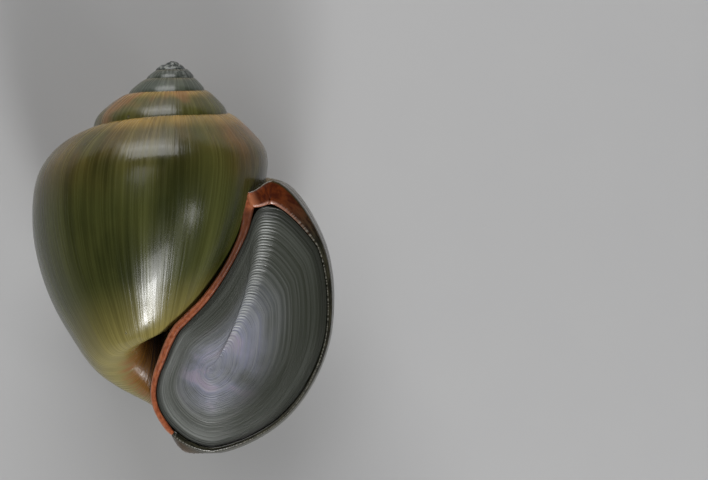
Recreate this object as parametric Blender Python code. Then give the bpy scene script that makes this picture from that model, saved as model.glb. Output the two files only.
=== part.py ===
"""A life-size apple snail, drawn in behind its operculum, lying on the back of its shell.

Lengths are in millimetres until a mesh is made. The shell is worked out upright on its coiling
axis: the axis is Z, the apex is at the origin and the aperture faces -Y. Each whorl is a loft of
one section that turns about the axis, widens and drops. The whole is laid down at the end.
"""

import math

import bmesh
import bpy
from mathutils import Matrix, Vector

MM = 0.001
NAME = "apple_snail"

# Growth: a section widens by this factor in a whole turn. Turns are counted from the lip, so
# that the lip is at 0 and the start of the last whorl at -1.
GROWTH_PER_TURN = 1.7356
LIP_SHAPE_STARTS = -0.8  # where the spire's section begins to change into the lip's
LIP_SHEAR_STARTS = -0.35  # where the growth lines begin to lean towards the lip's own plane
PILLAR_STARTS = -0.12  # where the section's inner side swings out in front of the umbilicus
UMBILICUS_RADIUS = 0.12  # the narrowest that the hollow along the axis gets
SLOWEST_RADIUS = 3.0  # nearer the axis than this, the gaps between whorls narrow with the radius

# One section as (radius from the axis, height) at full size, going round from the hidden tuck.
SPIRE_SECTION = {
    "tuck": (13.4, -18.4),
    "seam": (18.9, -16.8),
    "shoulder": (27.3, -22.4),
    "upper": (32.7, -29.1),
    "periphery": (33.0, -40.5),
    "lower": (29.2, -55.4),
    "skirt": (22.8, -68.2),
    "base": (13.4, -80.8),
    "anterior": (3.6, -76.5),
    "columella": (1.8, -62.5),
    "core_low": (1.3, -41.0),
    "core_high": (5.8, -25.0),
}
LIP_SECTION = {
    "tuck": (7.5, -20.5),
    "seam": (18.6, -24.9),
    "shoulder": (22.7, -22.4),
    "upper": (31.5, -34.0),
    "periphery": (33.5, -50.5),
    "lower": (29.8, -62.1),
    "skirt": (23.5, -69.9),
    "base": (13.7, -75.1),
    "anterior": (6.2, -75.0),
    "columella": (1.6, -64.3),
    "core_low": (1.4, -45.0),
    "core_high": (5.8, -28.8),
}
NAMES = list(SPIRE_SECTION)
HIDDEN_STRETCHES = ("columella", "core_low", "core_high", "tuck")

# The aperture's plane: y at the point (x, z) below, and how y changes with x and with z.
PLANE_X = 12.0
PLANE_Z = -72.0
PLANE_Y = -7.9
PLANE_SLOPE_X = 0.14
PLANE_SLOPE_Z = -0.097
# Where the hidden side of the last section lands in that plane, as (x, z).
PILLAR = {
    "anterior": (4.2, -72.4),
    "columella": (-0.6, -63.6),
    "core_low": (3.0, -51.0),
    "core_high": (4.0, -34.0),
    "tuck": (4.0, -22.0),
}

# Each whorl: start and end in turns, section points in a shown stretch, steps in a turn, colour.
WHORLS = {
    "body_whorl": (-0.75, 0.0, 4, 48, "shell_olive"),
    "penultimate_whorl": (-1.75, -0.75, 3, 40, "shell_olive"),
    "third_whorl": (-2.75, -1.75, 2, 32, "shell_ochre"),
    "fourth_whorl": (-3.75, -2.75, 2, 26, "shell_dark_tip"),
    "fifth_whorl": (-4.75, -3.75, 1, 22, "shell_dark_tip"),
}
# The worn tip of the spire is a plain dome.
TIP_TOP = -0.4
TIP_BOTTOM = -5.7
TIP_RADIUS = 2.05

GAP = 0.3  # between pieces that meet
LIP_DEPTH = 2.0  # how far both lips reach back from the aperture's plane
LIP_ROUNDING = 0.35
OUTER_LIP_WIDTH = {
    "seam": 3.0,
    "shoulder": 4.5,
    "upper": 1.2,
    "periphery": 0.8,
    "lower": 0.8,
    "skirt": 0.8,
    "base": 0.9,
    "anterior": 1.2,
}
# The left edge of the inner lip in the aperture's plane, as (x, z), and the lip's width there.
INNER_LIP = [
    (15.5, -25.0, 2.4),
    (15.2, -28.0, 2.2),
    (15.0, -32.0, 1.6),
    (13.6, -36.4, 1.3),
    (11.2, -41.3, 1.3),
    (8.3, -45.7, 1.4),
    (5.4, -49.0, 1.5),
    (3.2, -51.6, 1.5),
    (1.9, -54.4, 1.5),
    (0.8, -57.8, 1.4),
    (-0.1, -61.2, 1.2),
    (-0.3, -64.6, 1.1),
    (0.6, -67.8, 1.1),
    (3.1, -71.4, 1.2),
]
INNER_LIP_STEPS = 3

OPERCULUM_DEPTH = 0.5  # of its edge below the aperture's plane
OPERCULUM_DISH = 0.5  # how much deeper its middle is
OPERCULUM_RIDGE = 0.08  # half the height of a growth ring
OPERCULUM_RINGS = 10
OPERCULUM_EDGE_POINTS = 48
OPERCULUM_NUCLEUS = (10.9, -59.4)
OPERCULUM_TOP = [(18.0, -28.6), (18.9, -27.6), (20.4, -27.5)]

FLAT_DEPTH = 0.7  # how much of the shell's back is taken off to lie on

MATERIALS = {
    "shell_olive": ((0.105, 0.090, 0.024), 0.22),
    "shell_ochre": ((0.170, 0.110, 0.030), 0.26),
    "shell_dark_tip": ((0.050, 0.060, 0.052), 0.40),
    "lip_orange": ((0.420, 0.110, 0.030), 0.35),
    "lip_dark": ((0.060, 0.035, 0.014), 0.30),
    "operculum_grey": ((0.110, 0.100, 0.110), 0.38),
}


def smooth_step(x):
    x = min(max(x, 0.0), 1.0)
    return x * x * (3.0 - 2.0 * x)


def curve_point(before, start, end, after, t):
    """A point between start and end on a smooth curve, with centripetal spacing."""
    points = [Vector(p) for p in (before, start, end, after)]
    knots = [0.0]
    for a, b in zip(points, points[1:]):
        knots.append(knots[-1] + math.sqrt(max((b - a).length, 1e-9)))
    x = knots[1] + (knots[2] - knots[1]) * t

    def blend(i, j, p, q):
        return (p * (knots[j] - x) + q * (x - knots[i])) / (knots[j] - knots[i])

    near = [blend(i, i + 1, points[i], points[i + 1]) for i in range(3)]
    far = [blend(0, 2, near[0], near[1]), blend(1, 3, near[1], near[2])]
    return blend(1, 2, far[0], far[1])


def closed_curve(points, counts):
    """A smooth closed curve through the points, with counts[i] points in stretch i."""
    n = len(points)
    curve = []
    for i, count in enumerate(counts):
        around = [points[(i + k) % n] for k in (-1, 0, 1, 2)]
        curve += [curve_point(*around, k / count) for k in range(count)]
    return curve


def open_curve(points, count):
    points = [Vector(p) for p in points]
    points = [2 * points[0] - points[1], *points, 2 * points[-1] - points[-2]]
    curve = []
    for i in range(len(points) - 3):
        curve += [curve_point(*points[i : i + 4], k / count) for k in range(count)]
    return curve + [points[-2]]


def plane_y(x, z):
    return PLANE_Y + PLANE_SLOPE_X * (x - PLANE_X) + PLANE_SLOPE_Z * (z - PLANE_Z)


def on_plane(x, z, depth):
    return Vector((x, plane_y(x, z) + depth, z))


def in_space(radius, height, turn):
    """The point at this radius and height, turned about the axis the way the shell grows."""
    angle = -math.tau * turn
    return Vector((radius * math.cos(angle), radius * math.sin(angle), height))


def lip_turn(radius, height, depth):
    """How many turns past zero the section's point meets the plane, depth behind the aperture."""
    turn = 0.05
    for _ in range(30):
        actual = radius * GROWTH_PER_TURN**turn
        x = actual * math.cos(math.tau * turn)
        sine = (plane_y(x, height) + depth) / actual
        turn = -math.asin(min(max(sine, -0.98), 0.6)) / math.tau
    return turn


class Section:
    """The whorl's outline, at one resolution."""

    def __init__(self, shown_points):
        self.counts = [1 if name in HIDDEN_STRETCHES else shown_points for name in NAMES]
        self.spire = closed_curve(list(SPIRE_SECTION.values()), self.counts)
        self.lip = closed_curve(list(LIP_SECTION.values()), self.counts)
        self.size = len(self.spire)

    def index(self, name):
        return sum(self.counts[: NAMES.index(name)])

    def outline(self, turn):
        """The full-size outline of the section at this turn, as (radius, height)."""
        share = smooth_step((turn - LIP_SHAPE_STARTS) / -LIP_SHAPE_STARTS)
        return [a.lerp(b, share) for a, b in zip(self.spire, self.lip)]

    def point(self, i, turn, grown=0.0):
        """Point i of the section at this turn, moved outwards by grown."""
        outline = self.outline(turn)
        along = outline[(i + 1) % self.size] - outline[i - 1]
        outwards = Vector((-along[1], along[0])).normalized()
        radius = outline[i][0] * GROWTH_PER_TURN**turn + outwards[0] * grown
        height = outline[i][1] * GROWTH_PER_TURN ** min(turn, 0.0) + outwards[1] * grown
        return in_space(max(radius, UMBILICUS_RADIUS), height, turn)

    def at_lip(self, i, depth):
        """Where point i of the section meets the plane that is depth behind the aperture."""
        return self.point(i, lip_turn(*self.lip[i], depth))

    def pillar(self, depth):
        """Where each point of the hidden side ends in that plane; None for the shown ones."""
        spots = []
        for name in NAMES:
            if name in PILLAR:
                spots.append(Vector(PILLAR[name]))
            else:
                shown = self.at_lip(self.index(name), depth)
                spots.append(Vector((shown.x, shown.z)))
        curve = closed_curve(spots, self.counts)
        first, last = self.index("base"), self.index("seam")
        return [on_plane(*p, depth) if i > first or i < last else None for i, p in enumerate(curve)]

    def ring(self, stage, depth, grown=0.0):
        """The whole section at a stage of growth, leaning as the growth lines do."""
        shear = smooth_step((stage - LIP_SHEAR_STARTS) / -LIP_SHEAR_STARTS)
        swing = smooth_step((stage - PILLAR_STARTS) / -PILLAR_STARTS)
        pillar = self.pillar(depth) if swing > 0.0 else []
        points = []
        for i in range(self.size):
            turn = stage
            if shear > 0.0:
                turn += shear * lip_turn(*self.lip[i], depth)
            point = self.point(i, turn, grown)
            if pillar and pillar[i]:
                point += (pillar[i] - self.at_lip(i, depth)) * swing
            points.append(point)
        return points


def make_mesh(name, rings, collection):
    """A closed mesh lofted through rings of equally many points, its ends closed by fans."""
    bm = bmesh.new()
    rows = [[bm.verts.new(p * MM) for p in ring] for ring in rings]
    count = len(rows[0])
    for row, following in zip(rows, rows[1:]):
        for i in range(count):
            j = (i + 1) % count
            bm.faces.new((row[i], row[j], following[j], following[i]))
    for row in (rows[0], rows[-1]):
        middle = bm.verts.new(sum((v.co for v in row), Vector()) / count)
        for i in range(count):
            bm.faces.new((row[i], row[(i + 1) % count], middle))
    bmesh.ops.triangulate(bm, faces=bm.faces)
    bmesh.ops.recalc_face_normals(bm, faces=bm.faces)
    if bm.calc_volume(signed=True) < 0.0:
        bmesh.ops.reverse_faces(bm, faces=bm.faces)
    mesh = bpy.data.meshes.new(name)
    bm.to_mesh(mesh)
    bm.free()
    piece = bpy.data.objects.new(name, mesh)
    collection.objects.link(piece)
    return piece


def turned_on(point, way):
    """The point moved on round the axis by way, or by less where that would cross the axis."""
    angle = -way / max(math.hypot(point.x, point.y), SLOWEST_RADIUS)
    return Matrix.Rotation(angle, 3, "Z") @ point


def whorl_rings(name, grown=0.0, first=0.0, last=1.0):
    """The whorl's rings from its first share to its last, or those of a thicker cutter for it."""
    start, end, shown_points, steps, _ = WHORLS[name]
    section = Section(shown_points)
    count = round((end - start) * steps)
    wanted = range(round(first * count), round(last * count) + 1)
    stages = [start + (end - start) * k / count for k in wanted]
    rings = [section.ring(stage, LIP_DEPTH + GAP, grown) for stage in stages]
    if not grown:
        rings[0] = [turned_on(p, GAP / 2) for p in rings[0]]
    elif last == 1.0:
        rings[-1] = [turned_on(p, grown) for p in rings[-1]]
    return rings


def rim_ring(outer, inwards, width, grown):
    """A cross-section of a lip: outer gives its outer edge at a depth, inwards is (x, z)."""
    wide = width + grown
    rounding = min(LIP_ROUNDING, 0.4 * width)
    front = -grown
    back = LIP_DEPTH + grown
    spots = [(-grown, back), (-grown, front + rounding), (rounding - grown, front)]
    spots += [(wide - rounding, front), (wide, front + rounding), (wide, back)]
    points = []
    for across, depth in spots:
        edge = outer(depth if across <= 0.0 else 0.0)
        x = edge.x + inwards.x * across
        z = edge.z + inwards.y * across
        points.append(on_plane(x, z, depth))
    return points


def outer_lip_rings(grown=0.0):
    section = Section(WHORLS["body_whorl"][2])
    pillar = section.pillar(0.0)
    first, last = section.index("seam"), section.index("anterior")
    stops = [section.index(name) for name in OUTER_LIP_WIDTH]
    widths = list(OUTER_LIP_WIDTH.values())

    def edge(i, depth):
        if pillar[i]:
            return on_plane(pillar[i].x, pillar[i].z, depth)
        return section.at_lip(i, depth)

    rings = []
    for i in range(first, last + 1):
        k = max(k for k, stop in enumerate(stops) if stop <= i)
        share = (i - stops[k]) / section.counts[NAMES.index("seam") + k]
        width = widths[k] + (widths[min(k + 1, len(widths) - 1)] - widths[k]) * share
        before, after = edge(max(i - 2, first), 0.0), edge(min(i + 2, last), 0.0)
        inwards = Vector((after.z - before.z, before.x - after.x)).normalized()
        rings.append(rim_ring(lambda depth: edge(i, depth), inwards, width, grown))
    return rings


def inner_lip_rings(grown=0.0):
    path = open_curve(INNER_LIP, INNER_LIP_STEPS)
    rings = []
    for i, (x, z, width) in enumerate(path):
        before, after = path[max(i - 1, 0)], path[min(i + 1, len(path) - 1)]
        inwards = Vector((before[1] - after[1], after[0] - before[0])).normalized()
        rings.append(rim_ring(lambda depth: on_plane(x, z, depth), inwards, width, grown))
    return rings


def operculum_edge():
    """The outline of the operculum in the aperture's plane, the gap away from both lips."""
    spots = [Vector(p) for p in OPERCULUM_TOP]
    for ring in outer_lip_rings(GAP):
        if ring[4].x > 22.0 or ring[4].z < -60.0:
            spots.append(Vector((ring[4].x, ring[4].z)))
    for ring in reversed(inner_lip_rings(GAP)):
        if -70.0 < ring[4].z < -30.5:
            spots.append(Vector((ring[4].x, ring[4].z)))
    loop = spots + spots[:1]
    lengths = [0.0]
    for a, b in zip(loop, loop[1:]):
        lengths.append(lengths[-1] + (b - a).length)
    edge = []
    for k in range(OPERCULUM_EDGE_POINTS):
        target = lengths[-1] * k / OPERCULUM_EDGE_POINTS
        i = max(i for i, length in enumerate(lengths[:-1]) if length <= target)
        share = (target - lengths[i]) / (lengths[i + 1] - lengths[i])
        edge.append(loop[i].lerp(loop[i + 1], share))
    return edge


def operculum_rings():
    """A thin dished plate whose growth rings share one nucleus."""
    nucleus = Vector(OPERCULUM_NUCLEUS)
    edge = operculum_edge()
    rings = []
    for k in range(1, OPERCULUM_RINGS + 1):
        share = k / OPERCULUM_RINGS
        depth = OPERCULUM_DEPTH + OPERCULUM_DISH * (1.0 - share**2)
        depth += OPERCULUM_RIDGE * (-1 if k % 2 else 1)
        rings.append([on_plane(*nucleus.lerp(p, share), depth) for p in edge])
    rings.append([on_plane(*p, LIP_DEPTH) for p in edge])
    return rings


def make_tip(name, collection, grown=0.0):
    """The dome at the top of the spire, or the cutter for it."""
    wide = (TIP_RADIUS + grown) * MM
    tall = ((TIP_TOP - TIP_BOTTOM) / 2 + grown) * MM
    middle = Vector((0.0, 0.0, (TIP_TOP + TIP_BOTTOM) / 2 * MM))
    bm = bmesh.new()
    bmesh.ops.create_uvsphere(bm, u_segments=14, v_segments=8, radius=1.0)
    bmesh.ops.scale(bm, vec=(wide, wide, tall), verts=bm.verts)
    bmesh.ops.translate(bm, vec=middle, verts=bm.verts)
    bmesh.ops.triangulate(bm, faces=bm.faces)
    mesh = bpy.data.meshes.new(name)
    bm.to_mesh(mesh)
    bm.free()
    piece = bpy.data.objects.new(name, mesh)
    collection.objects.link(piece)
    return piece


def combine(piece, other, operation, solver="EXACT"):
    """Cuts the other from the piece or adds it, for good, and keeps the largest body left."""
    modifier = piece.modifiers.new("combine", "BOOLEAN")
    modifier.operation = operation
    modifier.solver = solver
    modifier.object = other
    evaluated = piece.evaluated_get(bpy.context.evaluated_depsgraph_get())
    mesh = bpy.data.meshes.new_from_object(evaluated)
    piece.modifiers.clear()
    old = piece.data
    piece.data = mesh
    bpy.data.meshes.remove(old)
    mesh.name = piece.name
    keep_largest(mesh)


def keep_largest(mesh):
    bm = bmesh.new()
    bm.from_mesh(mesh)
    bm.verts.ensure_lookup_table()
    left = set(range(len(bm.verts)))
    bodies = []
    while left:
        todo = [bm.verts[min(left)]]
        body = {todo[0].index}
        while todo:
            for edge in todo.pop().link_edges:
                for vert in edge.verts:
                    if vert.index not in body:
                        body.add(vert.index)
                        todo.append(vert)
        left -= body
        bodies.append(body)

    def extent(body):
        heights = [bm.verts[i].co.z for i in body]
        widths = [bm.verts[i].co.x for i in body]
        return max(heights) - min(heights) + max(widths) - min(widths)

    largest = max(bodies, key=extent)
    bmesh.ops.delete(bm, geom=[v for v in bm.verts if v.index not in largest], context="VERTS")
    bmesh.ops.triangulate(bm, faces=bm.faces)
    bm.to_mesh(mesh)
    bm.free()


def take_flat(piece, depth):
    """Takes depth off the piece's back, and closes it with a flat face."""
    level = max(v.co.y for v in piece.data.vertices) - depth * MM
    bm = bmesh.new()
    bm.from_mesh(piece.data)
    everything = bm.verts[:] + bm.edges[:] + bm.faces[:]
    bmesh.ops.bisect_plane(
        bm, geom=everything, plane_co=(0, level, 0), plane_no=(0, 1, 0), clear_outer=True
    )
    rim = [edge for edge in bm.edges if edge.is_boundary]
    bmesh.ops.edgeloop_fill(bm, edges=rim)
    bmesh.ops.recalc_face_normals(bm, faces=bm.faces)
    bmesh.ops.triangulate(bm, faces=bm.faces)
    bm.to_mesh(piece.data)
    bm.free()


def new_collection(name):
    collection = bpy.data.collections.new(name)
    bpy.context.scene.collection.children.link(collection)
    return collection


def material(name):
    colour, roughness = MATERIALS[name]
    made = bpy.data.materials.new(name)
    made.use_nodes = True
    shader = made.node_tree.nodes["Principled BSDF"]
    shader.inputs["Base Color"].default_value = (*colour, 1.0)
    shader.inputs["Roughness"].default_value = roughness
    shader.inputs["Metallic"].default_value = 0.0
    made.diffuse_color = (*colour, 1.0)
    return made


def build():
    for old in list(bpy.data.objects):
        bpy.data.objects.remove(old, do_unlink=True)
    snail = new_collection(NAME)
    cutters = new_collection(NAME + "_cutters")

    pieces = {name: make_mesh(name, whorl_rings(name), snail) for name in WHORLS}
    pieces["worn_tip"] = make_tip("worn_tip", snail)
    pieces["outer_lip"] = make_mesh("outer_lip", outer_lip_rings(), snail)
    pieces["inner_lip"] = make_mesh("inner_lip", inner_lip_rings(), snail)
    pieces["operculum"] = make_mesh("operculum", operculum_rings(), snail)

    # A cutter is all of the spire before a whorl, thicker by the gap and longer by it.
    spire = make_tip("cut_worn_tip", cutters, GAP)
    combine(pieces["fifth_whorl"], spire, "DIFFERENCE")
    order = list(WHORLS)
    for i in range(len(order) - 1, 0, -1):
        name = order[i]
        half = make_mesh("half", whorl_rings(name, GAP, 0.0, 0.55), cutters)
        combine(spire, half, "UNION", "MANIFOLD")
        bpy.data.objects.remove(half)
        half = make_mesh("half", whorl_rings(name, GAP, 0.5, 1.0), cutters)
        combine(spire, half, "UNION", "MANIFOLD")
        bpy.data.objects.remove(half)
        # A whorl winds round on itself, which the exact solver takes for an error.
        combine(pieces[order[i - 1]], spire, "DIFFERENCE", "MANIFOLD")
    spire.name = "cut_spire"
    inner = make_mesh("cut_inner_lip", inner_lip_rings(GAP), cutters)
    combine(pieces["outer_lip"], spire, "DIFFERENCE")
    for name in ("outer_lip", "penultimate_whorl", "body_whorl"):
        combine(pieces[name], inner, "DIFFERENCE")
    take_flat(pieces["body_whorl"], FLAT_DEPTH)
    for cutter in (spire, inner):
        cutter.hide_render = True
        cutter.display_type = "WIRE"

    # Laid down: the apex towards +Y, the aperture up, the middle of the underside at the origin.
    laid = Matrix(((1, 0, 0, 0), (0, 0, 1, 0), (0, -1, 0, 0), (0, 0, 0, 1)))
    for piece in [*pieces.values(), spire, inner]:
        piece.data.transform(laid)
    corners = [v.co for piece in pieces.values() for v in piece.data.vertices]
    low = [min(c[axis] for c in corners) for axis in range(3)]
    high = [max(c[axis] for c in corners) for axis in range(3)]
    shift = Vector((-(low[0] + high[0]) / 2, -(low[1] + high[1]) / 2, -low[2]))
    for piece in [*pieces.values(), spire, inner]:
        piece.data.transform(Matrix.Translation(shift))

    made = {name: material(name) for name in MATERIALS}
    colours = {name: values[4] for name, values in WHORLS.items()}
    colours["worn_tip"] = "shell_dark_tip"
    colours["outer_lip"] = "lip_dark"
    colours["inner_lip"] = "lip_orange"
    colours["operculum"] = "operculum_grey"
    for name, piece in pieces.items():
        piece.data.materials.clear()
        piece.data.materials.append(made[colours[name]])
        for polygon in piece.data.polygons:
            polygon.use_smooth = True
        triangles = len(piece.data.polygons)
        size = " x ".join("%.1f" % (side * 1000) for side in piece.dimensions)
        print(name, triangles, "triangles", size, "mm")
    print("total", sum(len(piece.data.polygons) for piece in pieces.values()))
    print("size", [round((b - a) * 1000, 1) for a, b in zip(low, high)], "shift", shift)


build()
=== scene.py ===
import math

import bpy
import numpy as np
from mathutils import Matrix, Vector


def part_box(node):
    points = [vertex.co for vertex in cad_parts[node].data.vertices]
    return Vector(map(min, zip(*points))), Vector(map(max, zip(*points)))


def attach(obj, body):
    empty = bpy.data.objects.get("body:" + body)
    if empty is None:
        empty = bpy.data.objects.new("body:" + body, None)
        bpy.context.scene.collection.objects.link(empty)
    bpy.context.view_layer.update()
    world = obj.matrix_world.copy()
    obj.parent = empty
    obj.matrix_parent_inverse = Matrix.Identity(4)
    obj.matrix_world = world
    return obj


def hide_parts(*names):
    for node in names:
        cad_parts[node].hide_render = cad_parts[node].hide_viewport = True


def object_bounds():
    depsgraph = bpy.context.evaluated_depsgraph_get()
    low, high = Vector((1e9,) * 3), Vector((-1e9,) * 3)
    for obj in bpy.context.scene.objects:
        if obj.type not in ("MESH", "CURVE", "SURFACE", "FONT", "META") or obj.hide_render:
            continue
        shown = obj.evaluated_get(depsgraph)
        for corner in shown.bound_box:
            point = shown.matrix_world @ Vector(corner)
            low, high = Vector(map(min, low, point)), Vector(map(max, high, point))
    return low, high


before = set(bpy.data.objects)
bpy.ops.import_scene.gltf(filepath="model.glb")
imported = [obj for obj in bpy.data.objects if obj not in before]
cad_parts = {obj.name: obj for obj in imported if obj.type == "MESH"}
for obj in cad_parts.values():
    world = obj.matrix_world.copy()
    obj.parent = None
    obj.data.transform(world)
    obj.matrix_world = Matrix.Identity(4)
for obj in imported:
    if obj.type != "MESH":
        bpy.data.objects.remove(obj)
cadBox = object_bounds()
print("frame loaded:", len(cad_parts), "nodes")

mm = 0.001
fullTurn = 2.0 * math.pi
weldDistance = 0.000001

# The shell is worked out upright on its coiling axis, in millimetres: apex at the origin, aperture
# towards -Y. Stages count turns of growth, from below -6 at the tip to 0 at the lip.
tipLow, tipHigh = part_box("worn_tip")
tipTop = -0.4  # height of the worn tip's top in that frame
layOffset = np.array([
    (tipLow.x + tipHigh.x) / 2 / mm,
    tipHigh.y / mm - tipTop,
    (tipLow.z + tipHigh.z) / 2 / mm,
])
boxLow = np.array(cadBox[0])
boxHigh = np.array(cadBox[1])

shell = {
    "growthPerTurn": 1.7356,
    "widestRadius": 33.0,
    "lipShapeStarts": -0.8,
    "lipShearStarts": -0.35,
    "pillarStarts": -0.12,
    "umbilicusRadius": 0.12,
    "firstStage": -6.4,
    "endDepth": 2.3,  # where the skin ends behind the aperture's plane
    "stageSteps": 4000,
    "stepsPerTurn": (36, 390),  # at the tip, and what the lip adds to it
    # where a section meets the aperture's plane: first guess in turns, rounds, limits of the sine
    "meeting": (0.05, 30, (-0.98, 0.6)),
    # where a section leaves the whorl before: steps along it, start as a share of the way to the
    # seam, and the number of stages that are worked out
    "suture": (1200, 0.3, 60),
    # the relief shrinks with the whorls: its scale at the lip, the least and the most
    "reliefScale": (1.1, 0.12, 1.0),
    "growthRelief": 0.11,
    # the growth swellings in it: (share, length, seed), then the puckers that fade below the suture
    "swellings": [(0.5, 6.5, 1), (0.3, 2.8, 2), (0.2, 1.7, 3)],
    "puckers": {"share": 0.8, "length": 1.6, "seed": 6, "reach": 2.5},
    "unevenness": 0.10,
    "unevenLengths": (19.0, 15.0),
    "unevenLean": 0.4,
    # the tip is swollen round a stage, and worn to a pitted dome out to a radius
    "tip": {
        "swelling": 0.6,
        "swollenStage": -4.3,
        "swollenTurns": 0.8,
        "wornRadius": 3.0,
        "wornCurve": 9.0,
        "pitDepth": 0.12,
        "pitsPerMm": 2.0,
        "pitShift": 40.0,
    },
    # point: (radius, height) in the spire's section, the same in the lip's, points in the stretch
    "section": {
        "tuck": ((13.4, -18.4), (7.5, -20.5), 3),
        "seam": ((18.9, -16.8), (18.6, -24.9), 11),
        "shoulder": ((27.3, -22.4), (22.7, -22.4), 9),
        "upper": ((32.7, -29.1), (31.5, -34.0), 9),
        "periphery": ((33.0, -40.5), (33.5, -50.5), 11),
        "lower": ((29.2, -55.4), (29.8, -62.1), 11),
        "skirt": ((22.8, -68.2), (23.5, -69.9), 9),
        "base": ((13.4, -80.8), (13.7, -75.1), 9),
        "anterior": ((3.6, -76.5), (6.2, -75.0), 8),
        "columella": ((1.8, -62.5), (1.6, -64.3), 3),
        "coreLow": ((1.3, -41.0), (1.4, -45.0), 3),
        "coreHigh": ((5.8, -25.0), (5.8, -28.8), 2),
    },
    # where the hidden side of the last section lands in the aperture's plane, as (x, z)
    "pillar": {
        "anterior": (4.2, -72.4),
        "columella": (-0.6, -63.6),
        "coreLow": (3.0, -51.0),
        "coreHigh": (4.0, -34.0),
        "tuck": (4.0, -22.0),
    },
}
aperture = {"x": 12.0, "z": -72.0, "y": -7.9, "slopeX": 0.14, "slopeZ": -0.097}


def layDown(points):
    points = np.asarray(points, float)
    laid = np.stack((points[..., 0], points[..., 2], -points[..., 1]), -1)
    return np.clip((laid + layOffset) * mm, boxLow, boxHigh)


def smoothStep(x):
    x = np.clip(x, 0.0, 1.0)
    return x * x * (3.0 - 2.0 * x)


def wander(x, period, seed, count=4096):
    # a smooth random line through values between 0 and 1, one each period
    values = np.random.default_rng(seed).random(count)
    x = np.asarray(x, float) / period
    low = np.floor(x).astype(int)
    share = smoothStep(x - low)
    return values[low % count] * (1 - share) + values[(low + 1) % count] * share


def unit(vectors):
    return vectors / np.linalg.norm(vectors, axis=-1, keepdims=True)


def lengthsAlong(points):
    steps = np.linalg.norm(np.diff(points, axis=0), axis=1)
    return np.concatenate(([0.0], np.cumsum(steps)))


def curveStretch(around, shares):
    # the smooth curve between the second and third of four points
    points = [np.asarray(p, float) for p in around]
    knots = [0.0]
    for a, b in zip(points, points[1:]):
        knots.append(knots[-1] + math.sqrt(max(np.linalg.norm(b - a), 1e-9)))
    x = (knots[1] + (knots[2] - knots[1]) * np.asarray(shares))[:, None]

    def blend(i, j, p, q):
        return (p * (knots[j] - x) + q * (x - knots[i])) / (knots[j] - knots[i])

    near = [blend(i, i + 1, points[i], points[i + 1]) for i in range(3)]
    far = [blend(0, 2, near[0], near[1]), blend(1, 3, near[1], near[2])]
    return blend(1, 2, far[0], far[1])


def closedCurve(points, counts):
    n = len(points)
    stretches = []
    for i, count in enumerate(counts):
        around = [points[(i + k) % n] for k in (-1, 0, 1, 2)]
        stretches.append(curveStretch(around, np.arange(count) / count))
    return np.concatenate(stretches)


def openCurve(points, count):
    points = [np.asarray(p, float) for p in points]
    points = [2 * points[0] - points[1], *points, 2 * points[-1] - points[-2]]
    stretches = []
    for i in range(len(points) - 3):
        stretches.append(curveStretch(points[i : i + 4], np.arange(count) / count))
    return np.concatenate([*stretches, points[-2][None]])


def planeY(x, z):
    level = aperture["y"] + aperture["slopeX"] * (x - aperture["x"])
    return level + aperture["slopeZ"] * (z - aperture["z"])


def onPlane(x, z, depth):
    x, z, depth = np.broadcast_arrays(x, z, depth)
    return np.stack((x, planeY(x, z) + depth, z), -1)


growth = shell["growthPerTurn"]
names = list(shell["section"])
counts = [shell["section"][name][2] for name in names]
starts = dict(zip(names, np.concatenate(([0], np.cumsum(counts)[:-1]))))
spireLine = closedCurve([shell["section"][name][0] for name in names], counts)
lipLine = closedCurve([shell["section"][name][1] for name in names], counts)
around = len(spireLine)


def inSpace(radius, height, turn):
    angle = -fullTurn * turn
    return np.stack((radius * np.cos(angle), radius * np.sin(angle), height), -1)


def shareFrom(stage, start):
    # rises from 0 at that stage to 1 at the lip
    return smoothStep((np.asarray(stage) - start) / -start)


def lipTurn(depth):
    # how many turns past zero each point of the lip's section meets the plane
    guess, rounds, limits = shell["meeting"]
    radius, height = lipLine[:, 0], lipLine[:, 1]
    turn = np.full(around, guess)
    for _ in range(rounds):
        actual = radius * growth**turn
        x = actual * np.cos(fullTurn * turn)
        sine = (planeY(x, height) + depth) / actual
        turn = -np.arcsin(np.clip(sine, *limits)) / fullTurn
    return turn


def shellPoint(turn, grown):
    # turn and grown are arrays of (rings, points round the section)
    share = shareFrom(turn, shell["lipShapeStarts"])[..., None]
    line = spireLine * (1 - share) + lipLine * share
    spireStep = np.roll(spireLine, -1, 0) - np.roll(spireLine, 1, 0)
    lipStep = np.roll(lipLine, -1, 0) - np.roll(lipLine, 1, 0)
    along = spireStep * (1 - share) + lipStep * share
    outwards = unit(np.stack((-along[..., 1], along[..., 0]), -1))
    radius = line[..., 0] * growth**turn + outwards[..., 0] * grown
    height = line[..., 1] * growth ** np.minimum(turn, 0.0) + outwards[..., 1] * grown
    return inSpace(np.maximum(radius, shell["umbilicusRadius"]), height, turn)


def pillarLine(depth):
    # the last section's own outline in the plane, its hidden side on the pillar's points
    atLip = shellPoint(lipTurn(depth)[None], 0.0)[0]
    spots = [shell["pillar"].get(name, atLip[starts[name]][[0, 2]]) for name in names]
    line = closedCurve(spots, counts)
    return onPlane(line[:, 0], line[:, 1], depth), atLip


def skinRings(stages, depth, grown):
    stages = np.asarray(stages, float)
    shear = shareFrom(stages, shell["lipShearStarts"])
    turn = stages[:, None] + shear[:, None] * lipTurn(depth)
    points = shellPoint(turn, grown)
    target, atLip = pillarLine(depth)
    swing = shareFrom(stages, shell["pillarStarts"])
    index = np.arange(around)
    inner = (index > starts["base"]) | (index < starts["seam"])
    points[:, inner] += (target - atLip)[inner] * swing[:, None, None]
    return points


def grownAt(stage):
    # how far the lip has travelled round the widest part by this stage
    fullLength = fullTurn * shell["widestRadius"] / math.log(growth)
    return fullLength * growth ** np.asarray(stage, float)


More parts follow.
